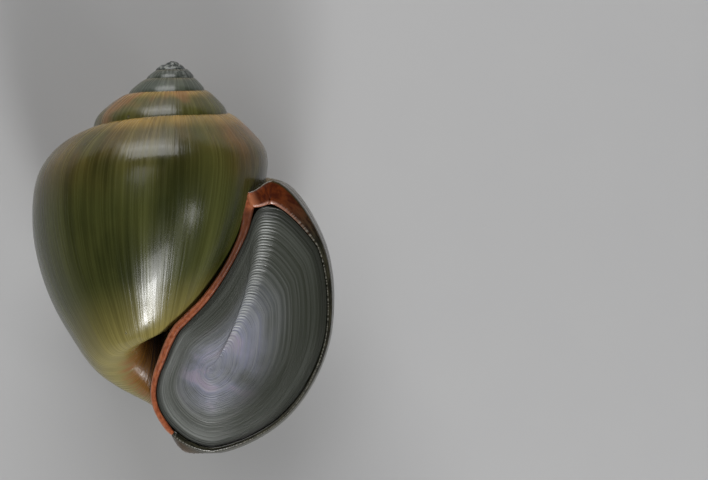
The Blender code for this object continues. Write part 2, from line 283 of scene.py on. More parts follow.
def isInside(points, outline):
    x, y = points[:, None, 0], points[:, None, 1]
    ax, ay = outline[None, :, 0], outline[None, :, 1]
    bx, by = np.roll(ax, -1, 1), np.roll(ay, -1, 1)
    crossing = (ay > y) != (by > y)
    rise = np.where(by == ay, 1e-9, by - ay)
    return (np.sum(crossing & (x < ax + (bx - ax) * (y - ay) / rise), axis=1) % 2) == 1


def lineAt(stage):
    share = float(shareFrom(stage, shell["lipShapeStarts"]))
    return spireLine * (1 - share) + lipLine * share


def arcsOf(line):
    # the lengths round a closed section, with the whole round as the last
    return lengthsAlong(np.vstack((line, line[:1])))


def sutureArc(stage):
    # where the whorl before meets this section, as a length along it at full size
    steps, shareOfSeam, _ = shell["suture"]
    own = lineAt(stage)
    arcs = arcsOf(own)
    fine = np.linspace(0.0, arcs[starts["base"]], steps)
    closed = np.vstack((own, own[:1]))
    track = np.stack([np.interp(fine, arcs, closed[:, k]) for k in (0, 1)], -1)
    before = isInside(track, lineAt(stage - 1.0) / growth)
    return fine[np.argmax(~before & (fine > arcs[starts["seam"]] * shareOfSeam))]


def shellRelief(grown, across, below, scale):
    # how far the surface lies below its smooth form, in millimetres
    pucker = shell["puckers"]
    alongLength, acrossLength = shell["unevenLengths"]
    waves = sum(share * wander(grown, length, seed) for share, length, seed in shell["swellings"])
    lean = grown + shell["unevenLean"] * across
    uneven = wander(lean, alongLength, 4) * wander(across, acrossLength, 5)
    fade = np.exp(-np.maximum(below, 0.0) / pucker["reach"])
    puckers = wander(grown, pucker["length"], pucker["seed"]) * fade
    relief = shell["growthRelief"] * (waves + pucker["share"] * puckers)
    return (relief + shell["unevenness"] * uneven) * scale


def skinFields(stages):
    # what the shell's material reads at each point: the length grown so far, the length across the
    # growth, the stage, the distance below the suture and the share of the way into the umbilicus
    stages = np.asarray(stages, float)
    arcs = np.stack([arcsOf(lineAt(stage))[:-1] for stage in stages])
    coarse = np.linspace(shell["firstStage"], 0.0, shell["suture"][2])
    suture = np.interp(stages, coarse, [sutureArc(stage) for stage in coarse])
    reach = starts["columella"] - starts["base"]
    navel = np.clip((np.arange(around) - starts["base"]) / reach, 0.0, 1.0)
    return {
        "navel": np.broadcast_to(navel, arcs.shape),
        "grown": np.broadcast_to(grownAt(stages)[:, None], arcs.shape),
        "across": arcs * growth ** stages[:, None],
        "stage": np.broadcast_to(stages[:, None], arcs.shape),
        "below": arcs - suture[:, None],
    }


def gridPiece(name, rows, fields):
    # a grid primitive whose points are put in place row by row, with its long edges joined
    rows = np.concatenate((rows, rows[:, :1]), 1)
    fields = {key: np.concatenate((v, v[:, :1]), 1) for key, v in fields.items()}
    rowCount, columnCount = rows.shape[:2]
    bpy.ops.object.select_all(action="DESELECT")
    bpy.ops.mesh.primitive_grid_add(
        x_subdivisions=columnCount - 1, y_subdivisions=rowCount - 1, size=1.0
    )
    piece = bpy.context.object
    piece.name = name
    piece.data.name = name
    mesh = piece.data
    flat = np.empty(len(mesh.vertices) * 3, np.float32)
    mesh.vertices.foreach_get("co", flat)
    flat = flat.reshape(-1, 3)
    column = np.rint((flat[:, 0] + 0.5) * (columnCount - 1)).astype(int)
    row = np.rint((flat[:, 1] + 0.5) * (rowCount - 1)).astype(int)
    mesh.vertices.foreach_set("co", layDown(rows)[row, column].astype(np.float32).ravel())
    for key, values in fields.items():
        layer = mesh.attributes.new(key, "FLOAT", "POINT")
        layer.data.foreach_set("value", values[row, column].astype(np.float32))
    mesh.update()
    bpy.ops.object.mode_set(mode="EDIT")
    bpy.ops.mesh.select_all(action="SELECT")
    bpy.ops.mesh.remove_doubles(threshold=weldDistance)
    bpy.ops.mesh.fill_holes(sides=0)
    bpy.ops.mesh.select_all(action="SELECT")
    bpy.ops.mesh.normals_make_consistent(inside=False)
    bpy.ops.object.mode_set(mode="OBJECT")
    bpy.ops.object.shade_smooth()
    return piece


def wearTip(rows, stages):
    tip = shell["tip"]
    swollen = (stages - tip["swollenStage"]) / tip["swollenTurns"]
    swelling = tip["swelling"] * np.exp(-(swollen**2))
    radius = np.hypot(rows[..., 0], rows[..., 1])
    rows[..., :2] *= (1.0 + swelling[:, None] / np.maximum(radius, 1.0))[..., None]
    radius = np.hypot(rows[..., 0], rows[..., 1])
    spots = rows[..., :2] * tip["pitsPerMm"] + tip["pitShift"]
    pit = tip["pitDepth"] * wander(spots[..., 0], 1.0, 8) * wander(spots[..., 1], 1.0, 9)
    worn = tipTop - radius**2 / tip["wornCurve"] - pit
    isWorn = (rows[..., 2] > worn) & (radius < tip["wornRadius"])
    rows[..., 2] = np.where(isWorn, worn, rows[..., 2])


def makeShellSkin():
    dense = np.linspace(shell["firstStage"], 0.0, shell["stageSteps"])
    slow, fast = shell["stepsPerTurn"]
    run = np.cumsum(slow + fast * growth**dense) * (dense[1] - dense[0])
    stages = np.interp(np.linspace(run[0], run[-1], int(run[-1]) + 1), run, dense)
    fields = skinFields(stages)
    atLip, least, most = shell["reliefScale"]
    scale = np.clip(atLip * growth ** stages[:, None], least, most)
    relief = shellRelief(fields["grown"], fields["across"], fields["below"], scale)
    rows = skinRings(stages, shell["endDepth"], -relief)
    wearTip(rows, stages)
    skin = gridPiece("shellSkin", rows, fields)
    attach(skin, "root")
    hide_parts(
        "body_whorl",
        "penultimate_whorl",
        "third_whorl",
        "fourth_whorl",
        "fifth_whorl",
        "worn_tip",
    )
    return skin


shellSkin = makeShellSkin()
print("shell skin:", len(shellSkin.data.polygons), "faces")


# Both lips and the operculum lie in the aperture's plane. A lip is a wall with a crown.
outerLip = {
    "backDepth": 2.65,
    "tuckedIn": 0.08,  # how far its back end hides under the skin
    "outerDepths": (2.3, 1.7, 1.2, 0.8, 0.5),
    "innerDepths": (0.8, 1.5, 2.65),
    "crown": 0.35,
    "crownOfWidth": 0.45,  # the most that the crown may take of the width
    "crownSteps": 11,
    "cornerSoftness": 16,
    "width": {
        "seam": 3.0,
        "shoulder": 4.7,
        "upper": 1.2,
        "periphery": 0.8,
        "lower": 0.8,
        "skirt": 0.8,
        "base": 0.9,
        "anterior": 1.2,
    },
}
innerLip = {
    "wallDepths": (0.8, 1.3, 2.0),
    "crown": 0.45,
    "crownSteps": 13,
    "sunk": 0.08,  # how far its crown lies below the plane
    # and how that varies: (height, length, seed)
    "uneven": [(0.10, 2.3, 11), (0.06, 0.9, 12)],
    "steps": 9,
    # its left edge in the aperture's plane and its width there
    "path": [
        (15.5, -25.0, 2.4),
        (15.2, -28.0, 2.2),
        (15.0, -32.0, 1.6),
        (13.6, -36.4, 1.3),
        (11.2, -41.3, 1.3),
        (8.3, -45.7, 1.4),
        (5.4, -49.0, 1.5),
        (3.2, -51.6, 1.5),
        (1.9, -54.4, 1.5),
        (0.8, -57.8, 1.4),
        (-0.1, -61.2, 1.2),
        (-0.3, -64.6, 1.1),
        (0.6, -67.8, 1.1),
        (3.1, -71.4, 1.1),
        (5.4, -73.0, 0.5),
    ],
}


def crownSpots(steps, power=3):
    # a rounded crown over a width of one: (across, depth) from one wall to the other
    share = 0.5 - 0.5 * np.cos(np.linspace(0.0, math.pi, steps))
    depth = 1.0 - np.sqrt(np.maximum(1.0 - np.abs(2 * share - 1) ** power, 0.0))
    return list(zip(share, depth))


def makeOuterLip():
    first, last = starts["seam"], starts["anterior"]
    stops = [starts[name] for name in outerLip["width"]]
    index = np.arange(first, last + 1)
    width = np.interp(index, stops, list(outerLip["width"].values()))
    lipFields = skinFields([0.0])

    def edgeAt(depth):
        grown = lipFields["grown"] + (shell["endDepth"] - depth)
        relief = shellRelief(grown, lipFields["across"], lipFields["below"], 1.0)
        ring = skinRings([0.0], depth, -relief)[0, index]
        return ring, {key: v[0, index] for key, v in {**lipFields, "grown": grown}.items()}

    front, frontFields = edgeAt(0.0)
    frontFlat = front[:, [0, 2]]
    along = np.gradient(frontFlat, axis=0)
    inwards = np.stack((along[:, 1], -along[:, 0]), -1)
    for _ in range(outerLip["cornerSoftness"]):
        inwards = unit(inwards)
        padded = np.concatenate((inwards[:1], inwards, inwards[-1:]))
        inwards = (padded[:-2] + padded[1:-1] + padded[2:]) / 3.0
    inwards = unit(inwards)
    innerLine = frontFlat + inwards * width[:, None]
    columns = []
    records = []

    def addColumn(points, fields, inner):
        columns.append(points)
        records.append({**fields, "inner": np.full(len(points), inner)})

    outerWall = [(outerLip["tuckedIn"], outerLip["backDepth"])]
    outerWall += [(0.0, depth) for depth in outerLip["outerDepths"]]
    for across, depth in outerWall:
        points, fields = edgeAt(depth)
        points = points + np.stack((inwards[:, 0], 0 * width, inwards[:, 1]), -1) * across
        addColumn(points, fields, 0.0)
    for share, rise in crownSpots(outerLip["crownSteps"]):
        spot = frontFlat + inwards * (width * share)[:, None]
        depth = rise * np.minimum(outerLip["crown"], outerLip["crownOfWidth"] * width)
        addColumn(onPlane(spot[:, 0], spot[:, 1], depth), frontFields, share)
    for depth in outerLip["innerDepths"]:
        addColumn(onPlane(innerLine[:, 0], innerLine[:, 1], depth), frontFields, 1.0)
    rows = np.stack(columns, 1)
    fields = {key: np.stack([record[key] for record in records], 1) for key in records[0]}
    fields["along"] = np.broadcast_to(np.linspace(0.0, 1.0, len(index))[:, None], rows.shape[:2])
    lip = gridPiece("outerLip", rows, fields)
    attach(lip, "root")
    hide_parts("outer_lip")
    return lip, innerLine


def makeInnerLip():
    path = openCurve(innerLip["path"], innerLip["steps"])
    flat, width = path[:, :2], path[:, 2]
    along = np.gradient(flat, axis=0)
    inwards = unit(np.stack((-along[:, 1], along[:, 0]), -1))
    length = lengthsAlong(flat)
    uneven = sum(
        height * (wander(length, period, seed) - 0.5) for height, period, seed in innerLip["uneven"]
    )
    walls = innerLip["wallDepths"]
    spots = [(0.0, depth, 0.0) for depth in reversed(walls)]
    for share, rise in crownSpots(innerLip["crownSteps"]):
        spots.append((share, rise * innerLip["crown"], innerLip["sunk"] + uneven))
    spots += [(1.0, depth, 0.0) for depth in walls]
    columns = []
    for share, depth, sunk in spots:
        spot = flat + inwards * (width * share)[:, None]
        columns.append(onPlane(spot[:, 0], spot[:, 1], depth + sunk))
    rows = np.stack(columns, 1)
    fields = {
        "inner": np.broadcast_to([spot[0] for spot in spots], rows.shape[:2]),
        "along": np.broadcast_to(length[:, None], rows.shape[:2]),
    }
    lip = gridPiece("innerLip", rows, fields)
    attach(lip, "root")
    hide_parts("inner_lip")
    return lip, flat + inwards * width[:, None]


lipOuter, outerLine = makeOuterLip()
lipInner, innerLine = makeInnerLip()
print("lips:", len(lipOuter.data.polygons), "and", len(lipInner.data.polygons), "faces")


operculum = {
    "gap": 0.12,
    "depth": 0.6,  # of its edge below the aperture's plane
    "dish": 0.5,
    "backDepth": 2.0,
    "rings": 58,
    "rowsPerRing": 3,
    "edgePoints": 220,
    "edgeSoftness": 2,
    "nucleus": (10.9, -59.4),
    # its edge: these points, then the outer lip's line right of x or below z, then the inner lip's
    # line between two heights
    "top": [(17.7, -28.6), (18.8, -27.5), (20.4, -27.4)],
    "outerFrom": (22.0, -60.0),
    "innerBetween": (-70.0, -30.5),
    # how far the line of the rings' corners bows to the right, and the angle that it bends with it
    "bow": 2.4,
    "bowAngle": 0.45,
    # the rings: how far and how often they wave, and their height
    "ringWaves": (0.35, 3.0),
    "ringHeight": 0.05,
    # the notched ridge: its height, half width, what it adds to the rings, and the share of the way
    # out at which it starts and over which it rises
    "ridgeHeight": 0.10,
    "ridgeWidth": 0.9,
    "ridgeNotches": 3.0,
    "ridgeStart": (0.08, 0.2),
    "swellHeight": 0.10,
    "materialRounds": 9.0,
}


def operculumEdge():
    rightOf, belowOf = operculum["outerFrom"]
    lowest, highest = operculum["innerBetween"]
    outer = outerLine[(outerLine[:, 0] > rightOf) | (outerLine[:, 1] < belowOf)]
    inner = innerLine[(innerLine[:, 1] > lowest) & (innerLine[:, 1] < highest)][::-1]
    loop = np.concatenate((np.array(operculum["top"]), outer, inner))
    loop = np.concatenate((loop, loop[:1]))
    lengths = lengthsAlong(loop)
    targets = np.linspace(0.0, lengths[-1], operculum["edgePoints"], endpoint=False)
    edge = np.stack([np.interp(targets, lengths, loop[:, k]) for k in (0, 1)], -1)
    for _ in range(operculum["edgeSoftness"]):
        edge = 0.5 * edge + 0.25 * (np.roll(edge, 1, 0) + np.roll(edge, -1, 0))
    along = np.roll(edge, -1, 0) - np.roll(edge, 1, 0)
    outwards = unit(np.stack((-along[:, 1], along[:, 0]), -1))
    return edge - outwards * operculum["gap"]


def makeOperculum():
    nucleus = np.array(operculum["nucleus"])
    edge = operculumEdge()
    tip = int(np.argmax(edge[:, 1]))
    tipAngle = math.atan2(*(edge[tip] - nucleus)[::-1])
    angle = np.arctan2(edge[:, 1] - nucleus[1], edge[:, 0] - nucleus[0]) - tipAngle
    angle = (angle + math.pi) % fullTurn - math.pi
    rowCount = operculum["rings"] * operculum["rowsPerRing"]
    share = (np.arange(rowCount) + 1.0)[:, None] / rowCount
    bend = np.exp(-((angle / operculum["bowAngle"]) ** 2))
    flat = nucleus + (edge - nucleus)[None] * share[..., None]
    flat[..., 0] += bend * operculum["bow"] * 4.0 * share * (1.0 - share)
    waveHeight, waves = operculum["ringWaves"]
    ring = share * operculum["rings"] + waveHeight * np.sin(waves * angle)[None] * share
    reach = np.linalg.norm(edge - nucleus, axis=1)
    aside = angle[None] * reach[None] * share / operculum["ridgeWidth"]
    ridgeFrom, ridgeRise = operculum["ridgeStart"]
    ridge = np.exp(-(aside**2)) * smoothStep((share - ridgeFrom) / ridgeRise)
    beat = 0.5 + 0.5 * np.cos(fullTurn * ring)
    strength = 0.35 + 0.65 * wander(ring, 3.1, 21)
    notches = 1.0 + operculum["ridgeNotches"] * ridge
    height = operculum["ringHeight"] * strength * beat * notches
    height += operculum["ridgeHeight"] * ridge
    height += operculum["swellHeight"] * wander(ring, 9.0, 22)
    depth = operculum["depth"] + operculum["dish"] * (1.0 - share**2) - height
    rows = onPlane(flat[..., 0], flat[..., 1], depth)
    back = onPlane(edge[:, 0], edge[:, 1], operculum["backDepth"])[None]
    fields = {
        "share": share,
        "ring": ring,
        "ridge": ridge,
        "beat": beat,
        # both go round smoothly, with no seam behind the nucleus
        "rounds": operculum["materialRounds"] * np.cos(angle)[None] * share,
        "side": -np.sin(angle)[None] * share,
    }
    fields = {key: np.broadcast_to(v, rows.shape[:2]) for key, v in fields.items()}
    fields = {key: np.concatenate((v, v[-1:])) for key, v in fields.items()}
    rows = np.concatenate((rows, back))
    plate = gridPiece("operculumPlate", rows, fields)
    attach(plate, "root")
    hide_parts("operculum")
    return plate


plate = makeOperculum()
print("operculum:", len(plate.data.polygons), "faces")


# Node helpers: a value is a number, a colour or the socket that gives it.
def addNode(tree, kind, inputs, **settings):
    made = tree.nodes.new("ShaderNode" + kind)
    for key, value in settings.items():
        setattr(made, key, value)
    for key, value in inputs.items():
        if isinstance(value, bpy.types.NodeSocket):
            tree.links.new(value, made.inputs[key])
        else:
            made.inputs[key].default_value = value
    return made


def calc(tree, operation, a, b=0.0):
    return addNode(tree, "Math", {0: a, 1: b}, operation=operation).outputs[0]


def times(tree, a, b):
    return calc(tree, "MULTIPLY", a, b)


def plus(tree, a, b):
    return calc(tree, "ADD", a, b)


def rising(tree, value, low, high):
    inputs = {"Value": value, "From Min": low, "From Max": high}
    made = addNode(tree, "MapRange", inputs, interpolation_type="SMOOTHSTEP")
    return made.outputs["Result"]


def falling(tree, value, low, high):
    return calc(tree, "SUBTRACT", 1.0, rising(tree, value, low, high))


def paint(tree, share, under, over, way="MIX"):
    inputs = {0: share, 6: under, 7: over}
    made = addNode(tree, "Mix", inputs, data_type="RGBA", blend_type=way)
    return made.outputs[2]


def paintLayers(tree, base, layers, masks):
    for mask, (amount, tint) in layers.items():
        base = paint(tree, times(tree, masks[mask], amount), base, tint)
    return base


def speckle(tree, x, y, z, detail=3.0, roughness=0.55):
    vector = addNode(tree, "CombineXYZ", {0: x, 1: y, 2: z}).outputs[0]
    inputs = {"Vector": vector, "Scale": 1.0, "Detail": detail, "Roughness": roughness}
    return addNode(tree, "TexNoise", inputs).outputs["Fac"]


def field(tree, name):
    return addNode(tree, "Attribute", {}, attribute_name=name).outputs["Fac"]


def colour(red, green, blue):
    return (red, green, blue, 1.0)


def newGroup(name, inputs, outputs):
    tree = bpy.data.node_groups.new(name, "ShaderNodeTree")
    for key, default in inputs.items():
        socket = tree.interface.new_socket(name=key, in_out="INPUT", socket_type="NodeSocketFloat")
        socket.default_value = default
    for key in outputs:
        kind = "NodeSocketColor" if key == "Colour" else "NodeSocketFloat"
        tree.interface.new_socket(name=key, in_out="OUTPUT", socket_type=kind)
    start = tree.nodes.new("NodeGroupInput").outputs
    end = tree.nodes.new("NodeGroupOutput").inputs
    return tree, start, end


def placeGroup(tree, group, inputs):
    return addNode(tree, "Group", inputs, node_tree=group).outputs


def makeGrowthLines():
    # fine lines and broad streaks that follow the growth, from millimetres along and across it
    tree, start, end = newGroup(
        "growthLines", {"Grown": 0.0, "Across": 0.0, "Spacing": 0.5}, ["Lines", "Streaks"]
    )
    fine = calc(tree, "DIVIDE", start["Grown"], start["Spacing"])
    lines = speckle(tree, fine, times(tree, start["Across"], 0.045), 3.7, 2.0, 0.5)
    broad = calc(tree, "DIVIDE", fine, 13.0)
    streaks = speckle(tree, broad, times(tree, start["Across"], 0.018), 8.1, 2.0, 0.6)
    tree.links.new(rising(tree, lines, 0.3, 0.7), end["Lines"])
    tree.links.new(rising(tree, streaks, 0.3, 0.7), end["Streaks"])
    return tree


def makeWearSpots():
    # small pits and specks, from millimetres along and across the surface
    tree, start, end = newGroup(
        "wearSpots", {"Grown": 0.0, "Across": 0.0, "Spacing": 4.0, "Radius": 0.1}, ["Spots", "Rims"]
    )
    x = calc(tree, "DIVIDE", start["Grown"], start["Spacing"])
    y = calc(tree, "DIVIDE", start["Across"], start["Spacing"])
    vector = addNode(tree, "CombineXYZ", {0: x, 1: y, 2: 0.5}).outputs[0]
    cells = addNode(tree, "TexVoronoi", {"Vector": vector, "Scale": 1.0, "Randomness": 1.0})
    chance = addNode(tree, "SeparateColor", {"Color": cells.outputs["Color"]}).outputs[0]
    radius = times(tree, start["Radius"], rising(tree, chance, 0.45, 1.0))
    inner = times(tree, radius, 0.5)
    outer = plus(tree, radius, 0.0001)
    wide = times(tree, outer, 1.8)
    distance = cells.outputs["Distance"]
    tree.links.new(falling(tree, distance, inner, outer), end["Spots"])
    tree.links.new(falling(tree, distance, outer, wide), end["Rims"])
    return tree


growthLines = makeGrowthLines()
wearSpots = makeWearSpots()

shellGround = (colour(0.026, 0.031, 0.006), colour(0.078, 0.084, 0.020))
# the specks' dark tint, also used for dirt and painted shade along the suture
speckAndShadeTint = colour(0.010, 0.008, 0.005)
# mask: (amount, tint), painted in this order over the ground's streaks
shellLayers = {
    "patches": (0.35, shellGround[1]),
    "warmth": (1.0, colour(0.190, 0.080, 0.012)),
    "sutureBand": (1.0, colour(0.330, 0.205, 0.050)),
    "foot": (0.85, colour(0.300, 0.250, 0.075)),
    "navelBrown": (0.85, colour(0.210, 0.075, 0.014)),
    # painted shade deep in the umbilicus
    "navelShade": (1.0, colour(0.020, 0.007, 0.003)),
    "newest": (0.85, colour(0.022, 0.020, 0.008)),
    "old": (0.8, colour(0.060, 0.075, 0.062)),
    "older": (0.75, colour(0.018, 0.024, 0.026)),
    "worn": (1.0, colour(0.230, 0.240, 0.220)),
    "rust": (0.7, colour(0.240, 0.110, 0.035)),
    # dirt and painted shade in the groove along the suture
    "sutureDirtAndShade": (0.8, speckAndShadeTint),
}


def shellMasks(tree, start, lines, mottle, rubbed):
    stage, below, navel = start["Stage"], start["Below"], start["Navel"]
    patches = rising(tree, mottle, 0.4, 0.62)
    # the shoulder is warmer, most of all over the back
    shoulder = falling(tree, below, 6.0, 34.0)
    back = rising(tree, stage, -0.75, -0.35)
    right = times(tree, falling(tree, stage, -0.90, -0.80), rising(tree, stage, -1.1, -1.0))
    where = calc(tree, "MAXIMUM", times(tree, back, 0.75), times(tree, right, 0.7))
    warmth = times(tree, shoulder, plus(tree, where, 0.25))
    # an ochre band under the suture and a paler base
    band = plus(tree, times(tree, patches, 0.4), 0.5)
    foot = times(tree, rising(tree, below, 52.0, 78.0), rising(tree, stage, -1.3, -0.9))
    # the umbilicus is brown and wrinkled, then painted shade deeper in its recess
    wrinkled = times(tree, navel, plus(tree, times(tree, lines, 0.9), 0.7))
    # some of the second whorl is worn to orange
    rust = times(tree, rising(tree, stage, -2.5, -2.2), falling(tree, stage, -1.5, -1.2))
    return {
        "patches": patches,
        "warmth": times(tree, warmth, plus(tree, times(tree, patches, 0.6), 0.4)),
        "sutureBand": times(tree, falling(tree, below, 2.0, 9.0), band),
        "foot": times(tree, foot, falling(tree, stage, -0.26, -0.16)),
        "navelBrown": rising(tree, wrinkled, 0.22, 0.52),
        # painted shade deep in the umbilicus
        "navelShade": rising(tree, wrinkled, 0.70, 1.05),
        "newest": rising(tree, stage, -0.20, -0.06),
        # the early whorls turn grey, then nearly black, and the tip is worn pale
        "old": falling(tree, stage, -2.7, -1.9),
        "older": falling(tree, stage, -4.2, -3.2),
        "worn": times(tree, rising(tree, rubbed, 0.5, 0.64), falling(tree, stage, -4.6, -3.0)),
        "rust": times(tree, rust, rising(tree, mottle, 0.50, 0.60)),
        # dirt and painted shade in the groove along the suture
        "sutureDirtAndShade": falling(tree, below, 0.1, 0.9),
    }


def makeShellHorn():
    # the shell's own colour, gloss and relief, for every piece that shows the outside of the shell
    tree, start, end = newGroup(
        "shellHorn",
        {"Grown": 0.0, "Across": 0.0, "Stage": 0.0, "Below": 20.0, "Navel": 0.0},
        ["Colour", "Roughness", "Height"],
    )
    grown, across = start["Grown"], start["Across"]
    streaked = placeGroup(tree, growthLines, {"Grown": grown, "Across": across, "Spacing": 0.5})
    spotted = placeGroup(tree, wearSpots, {"Grown": grown, "Across": across})
    lines, spots = streaked["Lines"], spotted["Spots"]
    mottle = speckle(tree, times(tree, grown, 0.09), times(tree, across, 0.06), 2.2, 3.0)
    rubbed = speckle(tree, times(tree, grown, 1.1), times(tree, across, 1.1), 5.0, 4.0)
    masks = shellMasks(tree, start, lines, mottle, rubbed)
    base = paint(tree, streaked["Streaks"], *shellGround)
    base = paintLayers(tree, base, shellLayers, masks)
    # the fine lines and the specks
    shade = plus(tree, times(tree, lines, 0.34), 0.80)
    shaded = addNode(tree, "CombineColor", {0: shade, 1: shade, 2: shade}).outputs[0]
    base = paint(tree, 1.0, base, shaded, "MULTIPLY")
    base = paint(tree, times(tree, spots, 0.85), base, speckAndShadeTint)
    tree.links.new(base, end["Colour"])
    rough = plus(tree, times(tree, lines, 0.10), 0.21)
    rough = plus(tree, rough, times(tree, masks["worn"], 0.25))
    rough = plus(tree, rough, times(tree, spots, 0.3))
    tree.links.new(rough, end["Roughness"])
    height = plus(tree, times(tree, lines, 0.5), times(tree, rubbed, 0.3))
    height = calc(tree, "SUBTRACT", height, times(tree, spots, 2.0))
    height = plus(tree, height, times(tree, spotted["Rims"], 0.4))
    tree.links.new(height, end["Height"])
    return tree


shellHorn = makeShellHorn()
specularLevel = 0.42


def newMaterial(name, coat, coatRoughness):
    made = bpy.data.materials.new(name)
    made.use_nodes = True
    shader = made.node_tree.nodes["Principled BSDF"]
    shader.inputs["Coat Weight"].default_value = coat
    shader.inputs["Coat Roughness"].default_value = coatRoughness
    shader.inputs["Specular IOR Level"].default_value = specularLevel
    return made, made.node_tree, shader


def dress(tree, shader, base, rough, height, distance):
    # distance is the bump's depth in metres
    tree.links.new(base, shader.inputs["Base Color"])
    tree.links.new(rough, shader.inputs["Roughness"])
    bump = addNode(tree, "Bump", {"Height": height, "Distance": distance, "Strength": 1.0})
    tree.links.new(bump.outputs[0], shader.inputs["Normal"])


def shellInputs(tree):
    read = ("grown", "across", "stage", "below", "navel")
    return {name.capitalize(): field(tree, name) for name in read}


def makeShellMaterial():
    made, tree, shader = newMaterial("shellLacquer", 0.10, 0.08)
    horn = placeGroup(tree, shellHorn, shellInputs(tree))
    dress(tree, shader, horn["Colour"], horn["Roughness"], horn["Height"], 0.00003)
    return made


# the callus: its orange-brown ground is as dark as its back-sloping face shows in shade, partly
# painted shade; over it a painted highlight along its crest next to the plate and at its top corner
callusInShadeGround = (colour(0.055, 0.009, 0.002), colour(0.130, 0.026, 0.004))
callusHighlightLayers = {
    "nearPlateHighlight": (0.85, colour(0.46, 0.20, 0.13)),
    "corner": (1.0, colour(0.48, 0.17, 0.08)),
}
edgeGround = (colour(0.010, 0.010, 0.006), colour(0.034, 0.032, 0.018))
# a painted glint along the lip's edge
edgeLayers = {"beadedGlint": (0.8, colour(0.26, 0.25, 0.21))}


def makeOuterLipMaterial():
    made, tree, shader = newMaterial("lipEdge", 0.15, 0.12)
    horn = placeGroup(tree, shellHorn, shellInputs(tree))
    inner, along = field(tree, "inner"), field(tree, "along")
    grain = speckle(tree, times(tree, along, 60.0), times(tree, inner, 3.0), 1.5)
    callus = paint(tree, rising(tree, grain, 0.35, 0.7), *callusInShadeGround)
    edge = paint(tree, rising(tree, grain, 0.4, 0.6), *edgeGround)
    # a painted glint as a pale beaded line, near the plate above and on the outermost edge below
    drop = times(tree, rising(tree, along, 0.35, 0.75), 0.66)
    place = calc(tree, "SUBTRACT", 0.88, drop)
    off = calc(tree, "ABSOLUTE", calc(tree, "SUBTRACT", inner, place))
    beading = speckle(tree, times(tree, along, 240.0), 0.0, 6.0, 1.0)
    glintBeads = rising(tree, beading, 0.42, 0.6)
    masks = {
        # painted highlight on the crest next to the plate and at the top corner
        "nearPlateHighlight": rising(tree, inner, 0.80, 0.93),
        "corner": falling(tree, along, 0.0, 0.05),
        "beadedGlint": times(tree, falling(tree, off, 0.06, 0.16), glintBeads),
    }
    callus = paintLayers(tree, callus, callusHighlightLayers, masks)
    edge = paintLayers(tree, edge, edgeLayers, masks)
    front = paint(tree, rising(tree, along, 0.17, 0.29), callus, edge)
    shade = paint(tree, rising(tree, inner, 0.02, 0.12), horn["Colour"], front)
    height = plus(tree, horn["Height"], grain)
    dress(tree, shader, shade, horn["Roughness"], height, 0.00003)
    return made


terracotta = (colour(0.23, 0.052, 0.016), colour(0.44, 0.130, 0.050))
innerLipLayers = {
    "paleEdge": (0.5, colour(0.62, 0.33, 0.22)),
    # painted shade on the side next to the operculum
    "plateSideShade": (0.7, colour(0.07, 0.018, 0.010)),
    "upper": (0.75, colour(0.060, 0.018, 0.006)),
}


def makeInnerLipMaterial():
    made, tree, shader = newMaterial("lipTerracotta", 0.40, 0.15)
    inner, along = field(tree, "inner"), field(tree, "along")
    grain = speckle(tree, times(tree, along, 1.3), times(tree, inner, 2.0), 4.0)
    paleEdge = times(tree, falling(tree, inner, 0.0, 0.35), rising(tree, along, 20.0, 45.0))
    masks = {
        "paleEdge": paleEdge,
        # painted shade on the side next to the operculum
        "plateSideShade": rising(tree, inner, 0.8, 1.0),
        # darker along its upper stretch, except at the very corner
        "upper": times(tree, rising(tree, along, 2.0, 4.5), falling(tree, along, 14.0, 24.0)),
    }
    shade = paint(tree, rising(tree, grain, 0.3, 0.7), *terracotta)
    shade = paintLayers(tree, shade, innerLipLayers, masks)
    dress(tree, shader, shade, plus(tree, times(tree, grain, 0.2), 0.26), grain, 0.00005)
    return made


plateGround = (colour(0.060, 0.066, 0.052), colour(0.150, 0.160, 0.145))
plateLayers = {
    # a purplish tint with painted sheen round the nucleus, pinker in patches
    "nucleusTintAndSheen": (0.9, colour(0.300, 0.310, 0.420)),
    "pinkTintAndSheen": (0.6, colour(0.420, 0.330, 0.420)),
    "lines": (0.45, colour(0.30, 0.31, 0.30)),
    "darkSide": (0.80, colour(0.022, 0.026, 0.016)),
    "darkTop": (0.70, colour(0.030, 0.034, 0.022)),
    # painted glints on the ridge's notches, painted shade in the grooves between them
    "notches": (0.8, colour(0.50, 0.52, 0.50)),
    "ridgeGrooveShade": (0.6, colour(0.050, 0.055, 0.050)),
    # a dark border, partly its own colour and partly painted shade at the gap to the lips
    "edge": (0.8, colour(0.022, 0.024, 0.018)),
}


